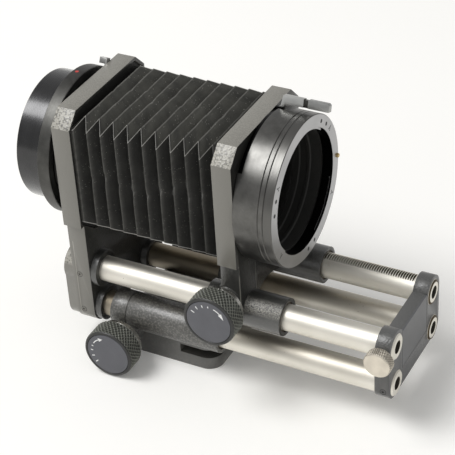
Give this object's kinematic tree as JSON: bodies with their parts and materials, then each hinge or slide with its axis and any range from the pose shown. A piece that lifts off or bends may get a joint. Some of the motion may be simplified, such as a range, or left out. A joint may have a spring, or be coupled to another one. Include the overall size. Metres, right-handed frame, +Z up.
{
  "type": "macro bellows unit",
  "caption": "Macro bellows unit: square pleated bellows between a fixed rear and a sliding front standard on four rods, with rack focusing, lock knobs and a tripod carriage.",
  "frame": {"origin": "mouth of the tripod thread, in the middle of the foot's underside", "axes": "+X along the rods towards the end plate, +Y to the drive knobs' side, +Z up"},
  "size_m": [0.1835, 0.0943, 0.1337],
  "materials": {
    "carriage_black": "coarse textured black paint",
    "frame_grey": "satin dark grey hammered paint",
    "end_grey": "dark grey hammered paint",
    "rod_nickel": "satin nickel plate",
    "brass": "turned brass",
    "anodised_black": "satin black anodised",
    "flange_grey": "fine turned grey",
    "knob_black": "knurled black anodised",
    "cap_grey": "smooth slate grey",
    "bellows_black": "coated cloth with worn folds",
    "matt_black": "matt black",
    "tube_black": "smooth gloss black",
    "dot_red": "red enamel",
    "screw_black": "blackened steel",
    "thumb_nickel": "nickel plate",
    "lever_grey": "satin grey",
    "panel_grey": "satin anodised",
    "washer_steel": "turned steel"
  },
  "bodies": {
    "carriage": {"carriage_casting": "carriage_black", "carriage_bushes": "brass", "focus_lock_washer": "washer_steel", "focus_bearing": "brass"},
    "rail": {"rod_upper_near": "rod_nickel", "rod_upper_far": "rod_nickel", "rod_lower_near": "rod_nickel", "rod_lower_far": "rod_nickel", "end_plate": "end_grey", "end_panel": "panel_grey", "end_grub_screws": "screw_black", "rear_standard": "frame_grey", "rear_grub_screws": "screw_black", "rear_hub": "anodised_black", "rear_retainer": "washer_steel", "bellows_rear_frame": "matt_black", "bellows": "bellows_black"},
    "rear_mount": {"rear_turn_ring": "anodised_black", "rear_index_dot": "dot_red", "rear_tube": "tube_black", "rear_flange": "rod_nickel"},
    "front": {"front_standard": "frame_grey", "front_bushes": "brass", "front_lock_washer": "washer_steel", "front_bearing": "brass", "front_barrel": "anodised_black", "front_collar": "anodised_black", "front_flange": "flange_grey", "front_face_screws": "screw_black", "front_baffle": "matt_black", "bellows_front_frame": "matt_black"},
    "focus_drive": {"focus_shaft": "rod_nickel", "focus_pinion": "brass", "focus_drive_knob": "knob_black", "focus_drive_cap": "cap_grey"},
    "focus_lock": {"focus_lock_knob": "knob_black", "focus_lock_cap": "cap_grey"},
    "front_drive": {"front_shaft": "rod_nickel", "front_pinion": "brass", "front_drive_knob": "knob_black", "front_drive_cap": "cap_grey"},
    "front_lock": {"front_lock_knob": "knob_black", "front_lock_cap": "cap_grey"},
    "thumb": {"thumb_screw": "thumb_nickel"},
    "lever_front": {"front_lever": "lever_grey"},
    "pin_front": {"front_locking_pin": "brass"},
    "lever_rear": {"rear_lever": "lever_grey"}
  },
  "joints": [
    {"name": "rail_slide", "type": "slide", "parent": "carriage", "child": "rail", "axis": [1, 0, 0], "range_m": [-0.076, 0.0045]},
    {"name": "extension_slide", "type": "slide", "parent": "rail", "child": "front", "axis": [1, 0, 0], "range_m": [-0.042, 0.044], "deforming": ["bellows"]},
    {"name": "focus_drive_turn", "type": "hinge", "parent": "carriage", "child": "focus_drive", "pos_m": [-0.02085, 0, 0.01287], "axis": [0, 1, 0], "range_deg": [-1312.34, 79.59]},
    {"name": "front_drive_turn", "type": "hinge", "parent": "front", "child": "front_drive", "pos_m": [0.0354, 0, 0.05087], "axis": [0, 1, 0], "range_deg": [-726.14, 760.62]},
    {"name": "focus_lock_turn", "type": "hinge", "parent": "focus_drive", "child": "focus_lock", "pos_m": [-0.02085, -0.04, 0.01287], "axis": [0, -1, 0], "range_deg": [0, 120]},
    {"name": "front_lock_turn", "type": "hinge", "parent": "front_drive", "child": "front_lock", "pos_m": [0.0354, -0.043, 0.05087], "axis": [0, -1, 0], "range_deg": [0, 120]},
    {"name": "thumb_screw_turn", "type": "hinge", "parent": "rail", "child": "thumb", "pos_m": [0.1085, -0.034, 0.0419], "axis": [0, -1, 0], "range_deg": [0, 180]},
    {"name": "front_lever_turn", "type": "hinge", "parent": "front", "child": "lever_front", "pos_m": [0.043, 0, 0.0954], "axis": [1, 0, 0], "range_deg": [0, 60], "stiffness_Nm_per_rad": 0.02},
    {"name": "front_pin_slide", "type": "slide", "parent": "front", "child": "pin_front", "axis": [1, 0, 0], "range_m": [-0.0016, 0]},
    {"name": "rear_lever_turn", "type": "hinge", "parent": "rail", "child": "lever_rear", "pos_m": [-0.047, 0, 0.0954], "axis": [1, 0, 0], "range_deg": [0, 15], "stiffness_Nm_per_rad": 0.05},
    {"name": "rear_mount_turn", "type": "hinge", "parent": "rail", "child": "rear_mount", "pos_m": [-0.055, 0, 0.0954], "axis": [1, 0, 0], "range_deg": [0, 90]}
  ],
  "couplings": [
    {"joint": "focus_drive_turn", "follows": "rail_slide", "rad_per_m": 300.92},
    {"joint": "front_drive_turn", "follows": "extension_slide", "rad_per_m": 300.92},
    {"joint": "front_pin_slide", "follows": "front_lever_turn", "m_per_rad": -0.001526}
  ]
}
